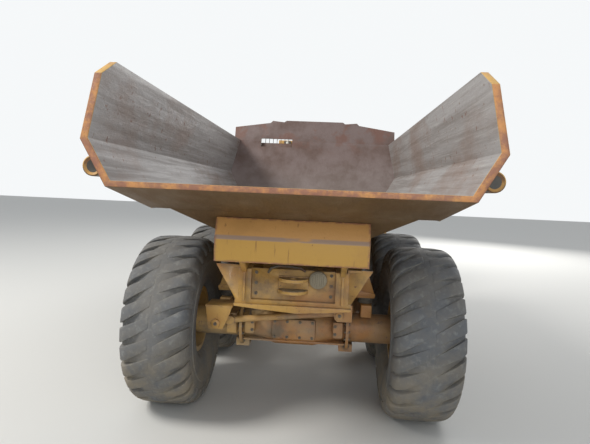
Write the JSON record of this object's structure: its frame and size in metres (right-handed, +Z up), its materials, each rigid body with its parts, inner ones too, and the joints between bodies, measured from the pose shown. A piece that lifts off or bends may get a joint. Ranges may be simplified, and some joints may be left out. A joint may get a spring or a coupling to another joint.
{
  "type": "articulated dump truck",
  "caption": "Articulated dump truck with a tipping hopper body, a turning hitch, a rocking rear chassis, steered front chassis, cab and hood.",
  "frame": {"origin": "on the ground, midway along and across the whole truck", "axes": "+Y forward, +X to the truck's right side, +Z up"},
  "size_m": [3.2, 11.16, 3.54],
  "materials": {
    "yellow_paint": "worn paint, dusty, with rust at its edges",
    "body_steel": "worn paint outside, scoured grey steel inside",
    "axle_steel": "dirty, oily and dusty",
    "dark_paint": "matt",
    "rod_chrome": "bright",
    "tyre": "muddy and worn",
    "rubber": "matt",
    "glass": "clear",
    "seat_cover": "woven",
    "plastic": "grained",
    "exhaust_steel": "heat stained",
    "lamp": "clear lens"
  },
  "bodies": {
    "rear_chassis": {"rear_frame": "yellow_paint", "tow_hitch": "yellow_paint", "axle_mid": "axle_steel", "axle_rear": "axle_steel", "walking_beams": "yellow_paint", "rubber_springs": "rubber", "stay_rods": "axle_steel", "propshafts": "axle_steel"},
    "hitch": {"hitch": "yellow_paint"},
    "front_chassis": {"front_frame": "yellow_paint", "axle_front": "axle_steel", "front_suspension": "axle_steel", "engine_block": "axle_steel", "front_bumper": "dark_paint", "fenders": "yellow_paint", "tanks": "dark_paint", "exhaust": "exhaust_steel", "headlamps": "lamp", "cab_shell": "yellow_paint", "cab_glass": "glass", "seat": "seat_cover", "cab_console": "plastic", "mirrors": "plastic"},
    "cab_door": {"cab_door": "yellow_paint", "door_glass": "glass"},
    "hood": {"hood": "yellow_paint", "grille": "dark_paint"},
    "load_body": {"dump_body": "body_steel", "tail_box": "yellow_paint"},
    "hoist_barrels": {"hoist_barrels": "yellow_paint"},
    "hoist_rods": {"hoist_rods": "rod_chrome"},
    "steer_barrel_left": {"steer_barrel_left": "yellow_paint"},
    "steer_rod_left": {"steer_rod_left": "rod_chrome"},
    "steer_barrel_right": {"steer_barrel_right": "yellow_paint"},
    "steer_rod_right": {"steer_rod_right": "rod_chrome"},
    "wheel_front_left": {"tyre_front_left": "tyre", "rim_front_left": "yellow_paint"},
    "wheel_front_right": {"tyre_front_right": "tyre", "rim_front_right": "yellow_paint"},
    "wheel_mid_left": {"tyre_mid_left": "tyre", "rim_mid_left": "yellow_paint"},
    "wheel_mid_right": {"tyre_mid_right": "tyre", "rim_mid_right": "yellow_paint"},
    "wheel_rear_left": {"tyre_rear_left": "tyre", "rim_rear_left": "yellow_paint"},
    "wheel_rear_right": {"tyre_rear_right": "tyre", "rim_rear_right": "yellow_paint"}
  },
  "joints": [
    {"name": "frame_oscillation", "type": "hinge", "parent": "rear_chassis", "child": "hitch", "pos_m": [0, 0.5, 1.3], "axis": [0, 1, 0], "range_deg": [-15, 15]},
    {"name": "steering", "type": "hinge", "parent": "hitch", "child": "front_chassis", "pos_m": [0, 1.23, 1.3], "axis": [0, 0, 1], "range_deg": [-45, 45]},
    {"name": "body_tip", "type": "hinge", "parent": "rear_chassis", "child": "load_body", "pos_m": [0, -4.7, 1.8], "axis": [1, 0, 0], "range_deg": [0, 70]},
    {"name": "hoist_swing", "type": "hinge", "parent": "rear_chassis", "child": "hoist_barrels", "pos_m": [0, -0.8, 1.09], "axis": [1, 0, 0], "range_deg": [-20.19, 0]},
    {"name": "hoist_stroke", "type": "slide", "parent": "hoist_barrels", "child": "hoist_rods", "axis": [0, -0.9636, 0.2672], "range_m": [0, 1.6673]},
    {"name": "door_swing", "type": "hinge", "parent": "front_chassis", "child": "cab_door", "pos_m": [-0.825, 1.96, 2.4], "axis": [0, 0, 1], "range_deg": [0, 90]},
    {"name": "hood_tilt", "type": "hinge", "parent": "front_chassis", "child": "hood", "pos_m": [0, 5.3, 1.55], "axis": [-1, 0, 0], "range_deg": [0, 65]},
    {"name": "steer_swing_right", "type": "hinge", "parent": "front_chassis", "child": "steer_barrel_right", "pos_m": [0.5, 2.23, 1.08], "axis": [0, 0, 1], "range_deg": [-12, 12]},
    {"name": "steer_stroke_right", "type": "slide", "parent": "steer_barrel_right", "child": "steer_rod_right", "axis": [-0.0712, -0.9975, 0], "range_m": [-0.34, 0.34]},
    {"name": "steer_swing_left", "type": "hinge", "parent": "front_chassis", "child": "steer_barrel_left", "pos_m": [-0.5, 2.23, 1.08], "axis": [0, 0, 1], "range_deg": [-12, 12]},
    {"name": "steer_stroke_left", "type": "slide", "parent": "steer_barrel_left", "child": "steer_rod_left", "axis": [0.0712, -0.9975, 0], "range_m": [-0.34, 0.34]},
    {"name": "front_left_roll", "type": "hinge", "parent": "front_chassis", "child": "wheel_front_left", "pos_m": [-1.2575, 2.51, 0.875], "axis": [1, 0, 0], "continuous": true},
    {"name": "front_right_roll", "type": "hinge", "parent": "front_chassis", "child": "wheel_front_right", "pos_m": [1.2575, 2.51, 0.875], "axis": [1, 0, 0], "continuous": true},
    {"name": "mid_left_roll", "type": "hinge", "parent": "rear_chassis", "child": "wheel_mid_left", "pos_m": [-1.2575, -2.01, 0.875], "axis": [1, 0, 0], "continuous": true},
    {"name": "mid_right_roll", "type": "hinge", "parent": "rear_chassis", "child": "wheel_mid_right", "pos_m": [1.2575, -2.01, 0.875], "axis": [1, 0, 0], "continuous": true},
    {"name": "rear_left_roll", "type": "hinge", "parent": "rear_chassis", "child": "wheel_rear_left", "pos_m": [-1.2575, -3.83, 0.875], "axis": [1, 0, 0], "continuous": true},
    {"name": "rear_right_roll", "type": "hinge", "parent": "rear_chassis", "child": "wheel_rear_right", "pos_m": [1.2575, -3.83, 0.875], "axis": [1, 0, 0], "continuous": true}
  ],
  "couplings": [
    {"joint": "hoist_swing", "follows": "body_tip", "ratio": -0.28123},
    {"joint": "hoist_stroke", "follows": "body_tip", "m_per_rad": 1.3606},
    {"joint": "steer_swing_right", "follows": "steering", "ratio": -0.2385},
    {"joint": "steer_swing_left", "follows": "steering", "ratio": -0.2385},
    {"joint": "steer_stroke_right", "follows": "steering", "m_per_rad": 0.4083},
    {"joint": "steer_stroke_left", "follows": "steering", "m_per_rad": -0.4083}
  ]
}
